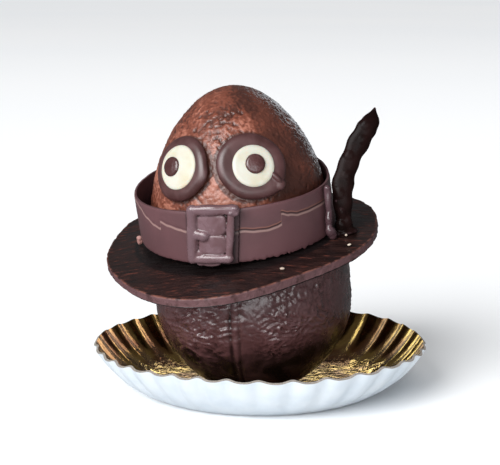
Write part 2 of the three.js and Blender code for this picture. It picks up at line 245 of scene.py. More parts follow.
# ---------------------------------------------------------------- the blunt half egg
# Half of a big dark chocolate egg, cast in a creased mould and stood blunt end down in the
# case. The mould's join runs down its front; a plain patch lies beside that.
# besides its shape: painted shade on its foot and right side, and painted light on its front
LOWER_EGG = {"place": Vector((-3.4, -0.85, 48)) * MM, "radius": 50.3 * MM, "below": 50 * MM,
             "above": 90 * MM, "taper": 0.08, "shade_foot": -9 * MM, "shade_side": 0.25, "painted_light": 0.1}
EGG_FOOT = 1.2 * MM                        # it stands on the floor of the case
HAT = Matrix.Translation(Vector((-9.9, -7.8, 78.1)) * MM) @ Euler(
    (radians(12.2), radians(-5), 0), "YXZ").to_matrix().to_4x4()
BRIM_UNDER = -4 * MM                       # the brim's underside, in the tilted frame
JOIN_AZIMUTH = 3                           # degrees
PAINTED_LIGHT_ROUND, PAINTED_LIGHT_UP = (-3, 16), (14, 15)   # where light is painted on its front: degrees, and fiftieths of its height
SHADE_FROM, SHADE_FULL = 25, 65              # degrees over which shade is painted on its right side
SHADE_FADE = 24 * MM                        # and the height over which the shade painted on its foot fades in
# the colour of its pits, and of the shade painted on it
DARK_PIT_AND_SHADE = (9, 4, 4)
DARK_CHOCOLATE = (70, 44, 44)
DARK_WORN = (84, 56, 57)


def bell(value, middle, spread):
    """1 at the middle, fading to nothing on both sides."""
    return exp(-((value - middle) / spread) ** 2)


def crests(point, size, stretch=1.0, drift=1.0, sharp=2.4):
    """Raised creases, 0 to 1: the thin crests along which a warped noise is nothing."""
    warp = noise.noise_vector(point / (2.2 * size)) * drift
    spot = Vector((point.x, point.y, point.z * stretch)) / size + warp
    return max(0.0, 1 - sharp * abs(noise.noise(spot)))


def egg_mesh(egg, relief):
    """A whole egg whose skin is lifted by relief(point), kept as the attribute 'relief' with painted
    shade and light added. Below the height given for its foot and round on its right shade is
    painted on it, and light on its front."""
    bm = bmesh.new()
    bmesh.ops.create_icosphere(bm, subdivisions=6, radius=1)
    bmesh.ops.subdivide_edges(bm, edges=bm.edges, cuts=2, use_grid_fill=True)
    relief_and_shading = bm.verts.layers.float.new("relief")
    for vert in bm.verts:
        vert.co.normalize()
        rise = vert.co.z
        girth = egg["radius"] * (1 - egg["taper"] * max(0, rise))
        half = egg["above"] if rise > 0 else egg["below"]
        skin = Vector((vert.co.x * girth, vert.co.y * girth, rise * half))
        height = relief(skin)
        turn = degrees(azimuth_of(skin))
        shade = smoothstep(skin.z, egg["shade_foot"], egg["shade_foot"] - SHADE_FADE)
        shade += egg["shade_side"] * smoothstep(turn, SHADE_FROM, SHADE_FULL)
        shade -= egg["painted_light"] * bell(turn, *PAINTED_LIGHT_ROUND) * bell(rise * 50, *PAINTED_LIGHT_UP)
        # the relief, with the painted shade and light taken into it
        vert[relief_and_shading] = height / MM - shade
        vert.co = skin + skin.normalized() * height
    return bm


def cut(bm, point, normal):
    """Cuts away what lies beyond a plane and closes the cut."""
    geom = bm.verts[:] + bm.edges[:] + bm.faces[:]
    made = bmesh.ops.bisect_plane(bm, geom=geom, plane_co=point, plane_no=normal, clear_outer=True)
    rim = [each for each in made["geom_cut"] if isinstance(each, bmesh.types.BMEdge)]
    bmesh.ops.edgeloop_fill(bm, edges=rim)


def lower_relief(skin):
    azimuth = degrees(azimuth_of(skin))
    height = skin.z / MM
    flow = Vector((skin.x, skin.y, skin.z * 1.9)) + noise.noise_vector(skin / (15 * MM)) * 9 * MM
    ripples = 0.5 + 0.5 * sin(flow.z / (1.0 * MM) + 3.5 * noise.noise(flow / (9 * MM)))
    broken = smoothstep(noise.noise(flow / (5 * MM)), -0.25, 0.3)
    fine = crests(skin + Vector((0.3, 0, 0.1)), 3.6 * MM, 1.8, 1.4, 2.6) ** 1.3
    drips = crests(skin + Vector((0, 0.2, 0)), 2.6 * MM, 0.35, 0.9, 2.2)
    lumps = noise.noise(skin / (4.2 * MM)) + 0.5 * noise.noise(skin / (1.9 * MM))
    left = bell(azimuth, -20, 22) * bell(height, -4, 19)
    right = bell(azimuth, 44, 24) * bell(height, 5, 18)
    middle = bell(azimuth, 27, 9) * bell(height, -9, 12)
    high = bell(azimuth, 46, 20) * bell(height, 17, 11)
    round_the_back = 0.6 * smoothstep(abs(azimuth), 75, 110) * smoothstep(height, -34, -10)
    relief = (1.6 * left + 0.4 * right + round_the_back) * ripples * broken + 1.1 * high * drips
    relief += (0.7 * left + 1.0 * right + 1.0 * middle) * fine + (0.5 * left + 0.14) * lumps
    if abs(azimuth - JOIN_AZIMUTH) < 14:
        wander = 0.8 * noise.noise(Vector((0, 3, skin.z / (6 * MM))))
        across = (azimuth - JOIN_AZIMUTH) * 0.87 + wander
        relief -= 0.8 * bell(across, -1.9, 0.8) + 0.55 * bell(across, 2.6, 0.6)
        smear = bell(across, 3, 3) * bell(height, -1, 5)
        relief += 0.3 * bell(across, 0.4, 1.3) + 0.5 * smear * (lumps + 0.4)
    return (relief - 0.3 + 0.18 * noise.noise(skin / (11 * MM))) * MM


def lower_egg_mesh():
    bm = egg_mesh(LOWER_EGG, lower_relief)
    bmesh.ops.translate(bm, verts=bm.verts, vec=LOWER_EGG["place"])
    cut(bm, (0, 0, EGG_FOOT), (0, 0, -1))
    up = (HAT.to_3x3() @ Vector((0, 0, 1))).normalized()
    cut(bm, HAT @ Vector((0, 0, BRIM_UNDER)), up)
    return bm


def chocolate(name, pit_and_shade, body, worn, roughness=(0.26, 0.42), grain=0.3, relief=(-0.4, 0.5), level=0.5):
    """Chocolate whose crests are worn lighter and whose pits are painted darker as shade; the light and
    shade painted into its attribute show the same way.
    """
    material, sockets, wire = new_material(name, IOR=1.5, Specular_IOR_Level=level)
    relief_and_shading = wire.attribute("relief")
    cloud = wire.speckle(70, 3, distortion=0.4)
    pores = wire.speckle(1500, 3)
    shade = relief_and_shading.ramp(*relief) * 0.75 + cloud.ramp(0.3, 0.7) * 0.25
    colour = shade.ramp(0.0, 0.5).mix(paint(*pit_and_shade), paint(*body))
    colour = shade.ramp(0.5, 1.0).mix(colour, paint(*worn))
    feed(sockets, Base_Color=colour, Roughness=cloud.ramp(0.3, 0.75, *roughness),
         Normal=wire.bump(pores + cloud * 0.5, grain, 0.25 * MM))
    return material


dark_chocolate = chocolate("dark_chocolate", DARK_PIT_AND_SHADE, DARK_CHOCOLATE, DARK_WORN, (0.23, 0.35),
                           relief=(-1.2, 0.5), level=0.62)
blunt_half = finished("blunt_half_egg", lower_egg_mesh(), dark_chocolate, crease=75)
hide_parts("lower_egg")

# ---------------------------------------------------------------- the brim
# A poured disc of dark chocolate, brushed while soft so that it is streaked like wood. Its
# outline is uneven, its edge is broken and paler, and a low step carries the band.
# Shade is painted in the undercut below its edge and on the brim in towards the band.
BRIM_RADIUS = 71.8 * MM
BRIM_STEP = Vector((50, 2.2)) * MM
BRIM_ROUND = 0.3 * MM
BRIM_NOTCH = 0.6 * MM                      # the undercut below its edge, painted dark as its shade
BRIM_DENT = (-1.5, -78, 22)                # mm, and degrees of its middle and spread
BRIM_SAG = (1.0, 22, 34)                   # where it was poured thicker, given likewise
BRIM_WAVES = ((1.2, 1, -123), (1.7, 2, 22), (4.1, 3, -9), (0.6, 4, 44), (1.8, 5, 0))
STREAK_DEEP = (18, 8, 7)
STREAK_BROWN = (36, 18, 15)
STREAK_RED = (100, 50, 39)
BRIM_SHADE = (10, 4, 4)
BRIM_SHADE_RING = 54.5 * MM, 51.5 * MM      # where shade is painted on the brim in towards the band
EDGE_DARK = (66, 43, 43)
EDGE_BROWN = (86, 59, 61)
EDGE_RED = (114, 71, 60)


def waves(listed, azimuth):
    """Slow waves round a ring, in mm: (reach, count of peaks, degrees of one peak)."""
    return sum(reach * cos(count * (azimuth - radians(peak))) for reach, count, peak in listed)


def swelling(bulge, azimuth):
    """A single swelling of a ring, in mm: its (reach, degrees of its middle, spread)."""
    reach, middle, spread = bulge
    return reach * exp((cos(azimuth - radians(middle)) - 1) / radians(spread) ** 2)


def brim_mesh():
    under, step, rim = BRIM_UNDER, BRIM_STEP, BRIM_RADIUS
    top = [(step.x * part, step.y) for part in (0.95, 0.85, 0.5, 0)]
    slope = [(step.x + (rim - BRIM_ROUND - step.x) * t, step.y * (1 - smoothstep(t, -0.3, 1.05)))
             for t in (1 - i / 14 for i in range(15))]
    notch = [(rim - BRIM_NOTCH, under), (rim - BRIM_NOTCH, under + 0.6 * BRIM_NOTCH)]
    edge = [(rim, under + BRIM_NOTCH + (-under - BRIM_NOTCH - BRIM_ROUND) * t) for t in (0, 0.15, 0.55, 1)]
    bm = spun([(0, under), (step.x, under)] + notch + edge + slope + top, 220, 2)
    side = bm.verts.layers.float.new("side")
    for vert in bm.verts:
        azimuth = azimuth_of(vert.co)
        radius = hypot(vert.co.x, vert.co.y)
        part = smoothstep(radius, step.x, rim)
        vert[side] = smoothstep(radius, rim - 1.6 * MM, rim) + smoothstep(vert.co.z, -0.2 * MM, -1 * MM)
        # the undercut below the edge is marked for painted shade, and so is the brim in towards the band
        shaded_below_edge = vert.co.z < under + 1.2 * BRIM_NOTCH
        vert[side] += 2 if shaded_below_edge else -smoothstep(radius, *BRIM_SHADE_RING)
        if radius > step.x:
            calm = smoothstep(cos(azimuth), -1, -0.2)
            wave = waves(BRIM_WAVES, azimuth) + swelling(BRIM_DENT, azimuth)
            grow = 1 + calm * wave * MM / (rim - step.x)
            radius = step.x + (radius - step.x) * grow
        ragged = noise.noise(Vector((azimuth * 14, vert.co.z / (3 * MM), 1)))
        ragged += 0.7 * noise.noise(Vector((azimuth * 40, vert.co.z / (1.6 * MM), 4)))
        chips = crests(Vector((azimuth * 60, vert.co.z / MM, 5)), 2.2)
        radius += (0.3 * ragged - 0.2 * chips) * part ** 8 * MM
        place = Vector((radius * sin(azimuth), -radius * cos(azimuth), vert.co.z))
        brushed = noise.noise(Vector((place.x / (16 * MM), place.y / (2.6 * MM), 3)))
        brushed += 0.5 * noise.noise(Vector((place.x / (9 * MM), place.y / (1.2 * MM), 7)))
        if vert.co.z > under / 2:
            place.z += (0.18 * brushed * part + 0.16 * ragged * part ** 12) * MM
        else:
            place.z -= swelling(BRIM_SAG, azimuth) * part ** 3 * MM
        vert.co = HAT @ place
    return bm


def brim_material():
    material, sockets, wire = new_material("brim_chocolate", IOR=1.5, Specular_IOR_Level=0.36)
    streak = wire.speckle(60, 5, stretch=(1, 4.5, 2), distortion=1.6)
    fine = wire.speckle(170, 4, stretch=(1, 6, 2), distortion=1.0)
    broken = wire.speckle(230, 4, distortion=0.8)
    colour = streak.ramp(0.32, 0.55).mix(paint(*STREAK_DEEP), paint(*STREAK_BROWN))
    colour = (streak * 0.45 + fine * 0.55).ramp(0.55, 0.68).mix(colour, paint(*STREAK_RED))
    edge = broken.ramp(0.3, 0.5).mix(paint(*EDGE_DARK), paint(*EDGE_BROWN))
    side = wire.attribute("side")
    colour = side.ramp(0.8, 1.2).mix(colour, edge)
    crumbled = side.ramp(0.1, 0.8) * side.ramp(1.5, 1.0) * broken.ramp(0.38, 0.62)
    colour = (crumbled * 0.8).mix(colour, paint(*EDGE_RED))
    # painted shade in the undercut below the edge
    colour = side.ramp(2.0, 3.0).mix(colour, paint(*STREAK_DEEP))
    # painted shade on the brim under the band
    colour = side.ramp(0.0, -1.0).mix(colour, paint(*BRIM_SHADE))
    pitted = wire.speckle(900, 3)
    height = streak * 0.6 + fine * 0.5 + pitted * 0.25 + broken * side * 0.6
    feed(sockets, Base_Color=colour, Roughness=streak.ramp(0.3, 0.7, 0.36, 0.55),
         Normal=wire.bump(height, 0.5, 0.7 * MM))
    return material


brim = finished("brushed_brim", brim_mesh(), brim_material())
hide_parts("hat_brim")

# ---------------------------------------------------------------- the pointed half egg
# The other half of the egg, in redder milk chocolate from the same creased mould, set on
# the brim with its point up. Its creases are worn pale; shade is painted into its pits, round
# its foot, on its right side and round the eyes, and light on its front.
# besides its shape: painted shade on its foot and right side, and painted light on its front
UPPER_EGG = {"radius": 44.4 * MM, "below": 50 * MM, "above": 57.2 * MM, "taper": 0.17,
             "shade_foot": 4 * MM, "shade_side": 0.4, "painted_light": 0.36}
UPPER_PLACE = HAT @ Matrix.Translation(Vector((2.2, 5.6, 20)) * MM) @ Euler(
    (radians(-1.5), radians(4), 0)).to_matrix().to_4x4()
UPPER_FOOT = 2.5 * MM
# the colour of its pits, and of the shade painted on it
MILK_PIT_AND_SHADE = (66, 37, 30)
MILK_BODY = (106, 58, 44)
MILK_CREST = (152, 97, 80)


def upper_relief(skin):
    azimuth = degrees(azimuth_of(skin))
    height = skin.z / MM
    small = crests(skin, 2.9 * MM, 1.6, 1.2, 2.6) ** 1.3
    long = crests(skin + Vector((0.2, 0.1, 0)), 4.6 * MM, 2, 1.7, 3.2) ** 1.4
    grain = noise.noise(skin / (1.1 * MM))
    pits = max(0, noise.noise(skin / (2 * MM) + Vector((9, 2, 4))) - 0.15)
    calm = 1 - 0.75 * bell(azimuth, 56, 20) * bell(height, 14, 18)
    crown = 1 - 0.4 * smoothstep(height, 46, 57)
    dents = noise.noise(skin / (13 * MM)) + 0.5 * noise.noise(skin / (7 * MM))
    relief = (0.22 * small + 0.2 * long) * calm * crown - 0.85 * pits * crown + 0.14 * grain * calm
    return (relief - 0.12 + 0.32 * dents * crown) * MM


def upper_egg_mesh():
    bm = egg_mesh(UPPER_EGG, upper_relief)
    bmesh.ops.transform(bm, matrix=UPPER_PLACE, verts=bm.verts)
    cut(bm, HAT @ Vector((0, 0, UPPER_FOOT)), -(HAT.to_3x3() @ Vector((0, 0, 1))))
    return bm


milk_chocolate = chocolate("milk_chocolate", MILK_PIT_AND_SHADE, MILK_BODY, MILK_CREST, (0.3, 0.46), 0.45,
                           (-0.3, 0.35), 0.4)
pointed_half = finished("pointed_half_egg", upper_egg_mesh(), milk_chocolate, crease=75)
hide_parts("upper_egg")

# ---------------------------------------------------------------- the band
# A strip of thin chocolate bent to a ring and lapped over its own end beside the buckle.
# A line of stitching is scored along it, with shade painted in the score and highlights
# painted below and above it, and its lower edge is chipped. Shadow is painted round the
# buckle and by the lap's end.
BAND_PLACE = HAT @ Matrix.Translation(Vector((0.9, 4.8, 0)) * MM)
BAND_OUTER = 50.5 * MM
BAND_THICK = 1.3 * MM
BAND_TOP, BAND_TOP_WAVES = 29.9, ((1.5, 1, -71), (1.1, 2, 13))
BAND_BOTTOM, BAND_BOTTOM_WAVES = 4.4, ((1.7, 1, -79),)
BAND_DENT = (-2.4, 108, 20)
LAP_FROM, LAP_END = -26, 13                # degrees
LAP_SLANT = 5                              # how much farther the lap reaches at its top
SCORE_LEFT = ((-76, 31), (-59, 29.9), (-53, 28.4), (-45, 25), (-38, 22.5), (-33, 21.5))
SCORE_MIDDLE = ((-32.2, 25.3), (-26, 23.9), (-18, 22.7), (-14.5, 22.1), (-10, 21), (17.7, 20.4),
                (25, 19.2), (32, 18.6), (37, 19), (40, 19.6))
SCORE_RIGHT = ((40.7, 24.8), (45, 23.2), (51.5, 21.6), (61, 21.1), (76, 20.6))
BAND_BROWN = (88, 58, 61)
BAND_CLOUD = (80, 52, 55)
# the score's painted shade, the painted shadow round the buckle, and the score's painted highlights below
# and above it
SCORE_SHADE = (50, 30, 31)
BAND_SHADE = (40, 24, 27)
SCORE_HIGHLIGHT_BELOW = (138, 110, 104)
SCORE_HIGHLIGHT_ABOVE = (130, 86, 72)


def along(points, value):
    """The height of a line of points at a value between its ends."""
    for (start, low), (end, high) in zip(points, points[1:]):
        if value <= end:
            return low + (high - low) * smoothstep(value, start, end)
    return points[-1][1]


def score_line(angle):
    """How high the score runs round the band, in mm."""
    if angle < -76 or angle > 76:
        step = (angle - 76) % 71
        return along(((0, 20.6), (8, 19.4), (16, 19.9), (16.5, 24.8), (30, 21.2), (71, 20.6)), step)
    part = SCORE_LEFT if angle < -32.4 else SCORE_MIDDLE if angle < 40.4 else SCORE_RIGHT
    return along(part, angle)


def band_mesh():
    rows = 18
    side = [(BAND_OUTER, row / rows) for row in range(rows + 1)]
    back = [(BAND_OUTER - BAND_THICK, 1 - row / 3) for row in range(4)]
    bm = spun([(r, z * MM) for r, z in side + back + side[:1]], 180, 4)
    score = bm.verts.layers.float.new("score")
    front = bm.verts.layers.float.new("front")
    shadow = bm.verts.layers.float.new("shadow")
    for vert in bm.verts:
        azimuth = azimuth_of(vert.co)
        angle = degrees(azimuth)
        radius = hypot(vert.co.x, vert.co.y)
        outside = radius > BAND_OUTER - 0.5 * BAND_THICK
        part = vert.co.z / MM
        top = BAND_TOP + waves(BAND_TOP_WAVES, azimuth) + 0.2 * noise.noise(Vector((angle / 6, 1, 0)))
        bottom = BAND_BOTTOM + waves(BAND_BOTTOM_WAVES, azimuth)
        broken = smoothstep(abs(angle - 42), 40, 8)
        chip = noise.noise(Vector((angle / 2.6, 8, 0))) + 0.6 * noise.noise(Vector((angle / 1.1, 3, 0)))
        bottom += 0.9 * broken * chip + 0.25 * noise.noise(Vector((angle / 3, 5, 0)))
        height = bottom + (top - bottom) * part
        gap = height - score_line(angle)
        vert[score] = gap
        past = angle - LAP_END - LAP_SLANT * part
        lap = BAND_THICK * smoothstep(angle, LAP_FROM, 0) if past < 0 else 0
        across = radians(angle - 0.7) * BAND_OUTER / MM - 0.1 * (height - 20.3)
        beyond = max(abs(across + 0.3) - 11, abs(height - 20.5 + 0.05 * across) - 15)
        if outside:
            soft = min(1, min(part, 1 - part) * rows)
            radius += lap - 0.3 * MM * (1 - soft) ** 2
            radius -= 0.22 * MM * bell(gap, 0, 0.45)
            radius += 0.1 * MM * noise.noise(Vector((angle / 9, height / 9, 2)))
            # how strongly the score's painted shade and highlights show
            vert[front] = 0.4 + 0.6 * smoothstep(angle, -20, 10)
            vert[shadow] = smoothstep(beyond, 1.8, 0.5)
            if past > -4 and past < 0.4:
                vert[shadow] = max(vert[shadow], 0.8 * smoothstep(past, -3.6, -1.6))
        radius += swelling(BAND_DENT, azimuth) * MM
        vert.co = (radius * sin(azimuth), -radius * cos(azimuth), height * MM)
    bmesh.ops.transform(bm, matrix=BAND_PLACE, verts=bm.verts)
    return bm


def band_material():
    material, sockets, wire = new_material("band_chocolate", IOR=1.48)
    gap = wire.attribute("score")
    front = wire.attribute("front")
    cloud = wire.speckle(45, 3, distortion=0.5)
    fine = wire.speckle(1400, 3)
    colour = cloud.ramp(0.35, 0.7).mix(paint(*BAND_BROWN), paint(*BAND_CLOUD))
    # painted highlights below and above the score and painted shade in it, faded round the left and kept
    # off the inside by 'front'
    painted_light = wire.math("ABSOLUTE", gap + 0.9).ramp(0.25, 0.8, 1, 0) * front.ramp(0.0, 0.3)
    groove_shade = wire.math("ABSOLUTE", gap).ramp(0.3, 0.8, 1, 0) * front.ramp(0.4, 0.9)
    pink = wire.math("ABSOLUTE", gap - 0.9).ramp(0.15, 0.5, 1, 0) * front.ramp(0.4, 0.9)
    colour = (groove_shade * 0.8).mix(colour, paint(*SCORE_SHADE))
    colour = (painted_light * 0.7).mix(colour, paint(*SCORE_HIGHLIGHT_BELOW))
    colour = (pink * 0.55).mix(colour, paint(*SCORE_HIGHLIGHT_ABOVE))
    colour = (wire.attribute("shadow") * 0.85).mix(colour, paint(*BAND_SHADE))
    feed(sockets, Base_Color=colour, Roughness=cloud.ramp(0.3, 0.7, 0.42, 0.52),
         Normal=wire.bump(fine, 0.12, 0.15 * MM))
    return material


band_chocolate = band_material()
band = finished("scored_band", band_mesh(), band_chocolate, crease=45)
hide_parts("hat_band")

# ---------------------------------------------------------------- the buckle
# Piped onto the band in one go: four soft bars round two flat pads on a thin plate, with a
# blunt prong across them. It is a little wider at the top and has run below its lower bar.
BUCKLE_AZIMUTH = radians(0.7)
BUCKLE_HEIGHT = 20.3 * MM
BUCKLE_LEAN = radians(-3)
BUCKLE_SLANT = 0.1
BUCKLE_BEND = BAND_OUTER + BAND_THICK
BUCKLE_SKIN = 0.35 * MM                    # the size of its mesh
BUCKLE_BARS = (((-8.4, -12.4), (-8.6, 0), (-8.8, 12.4), 2.7), ((-8.8, 12.4), (0, 12.8), (9.8, 12.6), 2.6),
               ((9.8, 12.6), (9.6, 0), (9.2, -12), 1.75), ((9.2, -12), (0, -12), (-8.4, -12.4), 2.3))
BUCKLE_PLATES = (((0.6, 0, 0.1), (9, 11, 1)), ((0.5, 5, 0.5), (7, 5.2, 1.7)),
                 ((1.3, -4.9, 0.5), (6.6, 5, 1.9)))
BUCKLE_BLOBS = (((-7.4, -10.4, 0.6), (3.4, 3.4, 2.4)), ((-4.6, -9.8, 0.4), (3, 3, 2.2)),
                ((11, 12, 1.8), (2.8, 3, 2.2)),
                ((11.6, 13.4, 3.1), (1.3, 1.1, 1.1)), ((12.2, 10.9, 2.9), (1.1, 1.3, 1.1)),
                ((9.4, 11.2, 3.4), (1, 1, 0.9)), ((0.4, -14.6, 0.8), (5.5, 1.6, 1.3)),
                ((-4.4, -14.6, 0.8), (2.6, 1.4, 1.2)))
BUCKLE_PRONG = ((-7, 0.2), (-4.8, 0.2), (-2.9, -0.3), 2.6)


def bar(bm, start, middle, end, radius, rise=1.3):
    """A rope of chocolate through three (across, up) points, as overlapping round beads."""
    start, middle, end = (Vector((*point, rise)) for point in (start, middle, end))
    beads = max(3, int((end - start).length / (0.3 * radius)))
    for step in range(beads + 1):
        t = step / beads
        spot = (1 - t) * (1 - 2 * t) * start + 4 * t * (1 - t) * middle + t * (2 * t - 1) * end
        swell = radius * (1 + 0.07 * sin(9 * t + start.x))
        blob(bm, spot, (swell, swell, swell * 0.82))


def blob(bm, centre, size, turn=None, square=2):
    """A lump at a place, of three half sizes, all in mm: round, or boxier as square grows."""
    place = Matrix.Translation(Vector(centre) * MM) @ (turn or Matrix.Identity(4))
    place @= Matrix.Diagonal((*(Vector(size) * MM), 1))
    for vert in bmesh.ops.create_icosphere(bm, subdivisions=3 if square == 2 else 5, radius=1)["verts"]:
        reach = sum(abs(part) ** square for part in vert.co) ** (1 / square)
        vert.co = place @ (vert.co / reach)


def fused(piece, voxel, smoothing):
    """Melts a piece's overlapping lumps into one skin and smooths it."""
    melt = piece.modifiers.new("melt", "REMESH")
    melt.mode = "VOXEL"
    melt.voxel_size = voxel
    melt.use_smooth_shade = True
    ease = piece.modifiers.new("ease", "SMOOTH")
    ease.factor = 0.5
    ease.iterations = smoothing


def on_band(point):
    """Bends a drawing (across, up, out) round the band."""
    across = point.x * cos(BUCKLE_LEAN) - point.y * sin(BUCKLE_LEAN) + BUCKLE_SLANT * point.y
    up = point.x * sin(BUCKLE_LEAN) + point.y * cos(BUCKLE_LEAN)
    angle = across / BUCKLE_BEND + BUCKLE_AZIMUTH
    reach = BUCKLE_BEND + point.z
    return Vector((reach * sin(angle), -reach * cos(angle), BUCKLE_HEIGHT + up))


def buckle_mesh():
    bm = bmesh.new()
    for start, middle, end, radius in BUCKLE_BARS:
        bar(bm, start, middle, end, radius, 1.6)
    bar(bm, *BUCKLE_PRONG, rise=1.9)
    for centre, size in BUCKLE_BLOBS:
        blob(bm, centre, size)
    for centre, size in BUCKLE_PLATES:
        blob(bm, centre, size, square=4.5)
    for vert in bm.verts:
        vert.co.z = max(vert.co.z, 0.1 * MM)
        vert.co = BAND_PLACE @ on_band(vert.co)
    return bm


def satin(name, body, light, roughness=(0.3, 0.42), grain=0.12, level=0.5, crevice_shade=None, crest_highlight=None,
          over_band=False):
    """Smooth poured chocolate, a little cloudy, with shade painted in its crevices and a highlight on its
    crests.
    Over the band, shade is painted close to the band and a highlight where the piece stands out."""
    material, sockets, wire = new_material(name, IOR=1.5, Specular_IOR_Level=level)
    cloud = wire.speckle(120, 3, distortion=0.5)
    fine = wire.speckle(900, 2)
    colour = cloud.ramp(0.35, 0.7).mix(paint(*body), paint(*light))
    if crevice_shade:
        # painted shade in hollows and painted highlight on bulges
        bend = wire.node("NewGeometry", output=7)
        colour = bend.ramp(0.43, 0.5, 1, 0).mix(colour, paint(*crevice_shade))
        colour = bend.ramp(0.51, 0.57).mix(colour, paint(*crest_highlight))
    if over_band:
        off_band = BAND_PLACE.inverted()
        seat = {"Location": off_band.to_translation(), "Rotation": off_band.to_euler()}
        where = wire.node("Mapping", inputs={"Vector": wire.node("TexCoord", output=3), **seat})
        flat = wire.node("VectorMath", {"operation": "MULTIPLY"}, {0: where, 1: (1, 1, 0)})
        reach = wire.node("VectorMath", {"operation": "LENGTH"}, {0: flat}, output=1)
        height = reach - BUCKLE_BEND
        # painted highlight high off the band and painted shade close to it
        colour = height.ramp(3.1 * MM, 4 * MM).mix(colour, paint(*crest_highlight))
        colour = height.ramp(0.9 * MM, 1.9 * MM, 1, 0).mix(colour, paint(*crevice_shade))
    feed(sockets, Base_Color=colour, Roughness=cloud.ramp(0.3, 0.7, *roughness),
         Normal=wire.bump(fine + cloud, grain, 0.2 * MM))
    return material


# shade painted in its crevices and close to the band, highlights painted on its crests
buckle_chocolate = satin("buckle_chocolate", (88, 64, 67), (104, 81, 86), (0.2, 0.3),
                         crevice_shade=(38, 18, 17), crest_highlight=(94, 73, 78), over_band=True)
buckle = finished("piped_buckle", buckle_mesh(), buckle_chocolate)
fused(buckle, BUCKLE_SKIN, 5)
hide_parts("hat_buckle")

# ---------------------------------------------------------------- the bead at the feather's foot
# A rope of chocolate piped down the band, which holds the feather against it; it ends in a
# drop on the brim.
BEAD_SPINE = ((51.5, -8.6, 28), (51.3, -10.2, 16), (50.8, -12, 8), (52, -10.8, 3))
BEAD_RADIUS = 1.8
BEAD_FOOT = 2.6


def spine_point(points, t):
    """A point on the smooth curve through the points, t from 0 to 1."""
    spans = len(points) - 1
    index = min(spans - 1, int(t * spans))
    u = t * spans - index
    before, start, end, after = (Vector(points[min(spans, max(0, index + k))]) for k in (-1, 0, 1, 2))
    return 0.5 * (2 * start + (end - before) * u + (2 * before - 5 * start + 4 * end - after) * u * u
                  + (3 * start - before - 3 * end + after) * u ** 3)


def bead_mesh():
    bm = bmesh.new()
    beads = 40
    for step in range(beads + 1):
        t = step / beads
        radius = BEAD_RADIUS + (BEAD_FOOT - BEAD_RADIUS) * smoothstep(t, 0.6, 0.9)
        radius *= 0.94 + 0.1 * sin(17 * t)
        sway = Vector((0, 0.35 * sin(23 * t), 0))
        blob(bm, spine_point(BEAD_SPINE, 0.04 + 0.92 * t) + sway, (radius, radius, radius))
    bmesh.ops.transform(bm, matrix=HAT, verts=bm.verts)
    return bm


# shade painted in its crevices, highlights painted on its crests
bead_chocolate = satin("bead_chocolate", (60, 40, 44), (76, 55, 60), (0.22, 0.32),
                       crevice_shade=(24, 12, 13), crest_highlight=(84, 62, 67))
bead = finished("piped_bead", bead_mesh(), bead_chocolate)
fused(bead, 0.3 * MM, 4)
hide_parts("seam_bead")

# ---------------------------------------------------------------- the feather
# Piped dark chocolate: a stout quill with short soft barbs on both sides and a pointed tip,
# stood up in a puddle of melted chocolate on the brim.
FEATHER_SPINE = ((56, -1.8, 2.4), (56.6, -1.6, 14.3), (57.2, 2.5, 25.7), (61.4, 8, 36.4),
                 (67.6, 13.3, 46.4), (71.6, 16.5, 52), (73.4, 19.3, 56.8))
FEATHER_FACES = Vector((0.24, -0.95, 0.2)).normalized()
FEATHER_BARBS = 5
FEATHER_BLACK = (16, 8, 7)
FEATHER_SHEEN = (26, 13, 12)


def frame_on(spine, t):
    """The curve's direction, the way across it and the way it faces, as a matrix at t."""
    ahead = (spine_point(spine, min(1, t + 0.01)) - spine_point(spine, max(0, t - 0.01))).normalized()
    across = ahead.cross(FEATHER_FACES).normalized()
    return Matrix((across, ahead, across.cross(ahead))).transposed().to_4x4()


def feather_mesh():
    bm = bmesh.new()
    for step in range(60):
        t = step / 59
        full = smoothstep(t, -0.25, 0.25) * (1 - smoothstep(t, 0.8, 1.03))
        scallop = 0.3 * sin(2 * pi * 7 * t) + 0.25 * sin(2 * pi * 3.3 * t + 1)
        spot = spine_point(FEATHER_SPINE, 0.02 + 0.95 * t)
        blob(bm, spot, (0.8 + (4.5 + scallop) * full, 2.4, 0.9 + 1.5 * full), frame_on(FEATHER_SPINE, t))
    for step in range(FEATHER_BARBS):
        t = 0.26 + 0.62 * step / FEATHER_BARBS
        for face in (-1, 1):
            seat = frame_on(FEATHER_SPINE, t)
            shift = seat.to_3x3() @ Vector((0.7 if step % 2 else -1, 0, 1.1 * face))
            blob(bm, spine_point(FEATHER_SPINE, t) + shift, (3.2, 4.2, 1.6), seat)
    bmesh.ops.transform(bm, matrix=HAT, verts=bm.verts)
    return bm


# shade painted in its crevices, highlights painted on its crests
feather_chocolate = satin("feather_chocolate", FEATHER_BLACK, FEATHER_SHEEN, (0.24, 0.34), 0.12, 0.05,
                          crevice_shade=(10, 4, 4), crest_highlight=(70, 50, 54))
feather = finished("piped_feather", feather_mesh(), feather_chocolate)
fused(feather, 0.35 * MM, 12)
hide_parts("hat_feather")

# The puddle that the feather stands in: melted chocolate with soft lumps where it set.
PUDDLE = (((56.4, -3.6, 2.2), (5.2, 4, 1.7)), ((55, -4.4, 5), (3.3, 2.6, 4.6)),
          ((57.8, -2.6, 6), (3, 2.5, 5.4)), ((59.6, -2.6, 2.2), (3.4, 3, 2)),
          ((55.9, -3.4, 11), (2.4, 1.9, 4.4)), ((53.6, -6.4, 2.4), (2.2, 2, 1.6)))


def puddle_mesh():
    bm = bmesh.new()
    for centre, size in PUDDLE:
        blob(bm, centre, size)
    bmesh.ops.transform(bm, matrix=HAT, verts=bm.verts)
    return bm


puddle = finished("feather_puddle", puddle_mesh(), feather_chocolate)
fused(puddle, 0.4 * MM, 16)

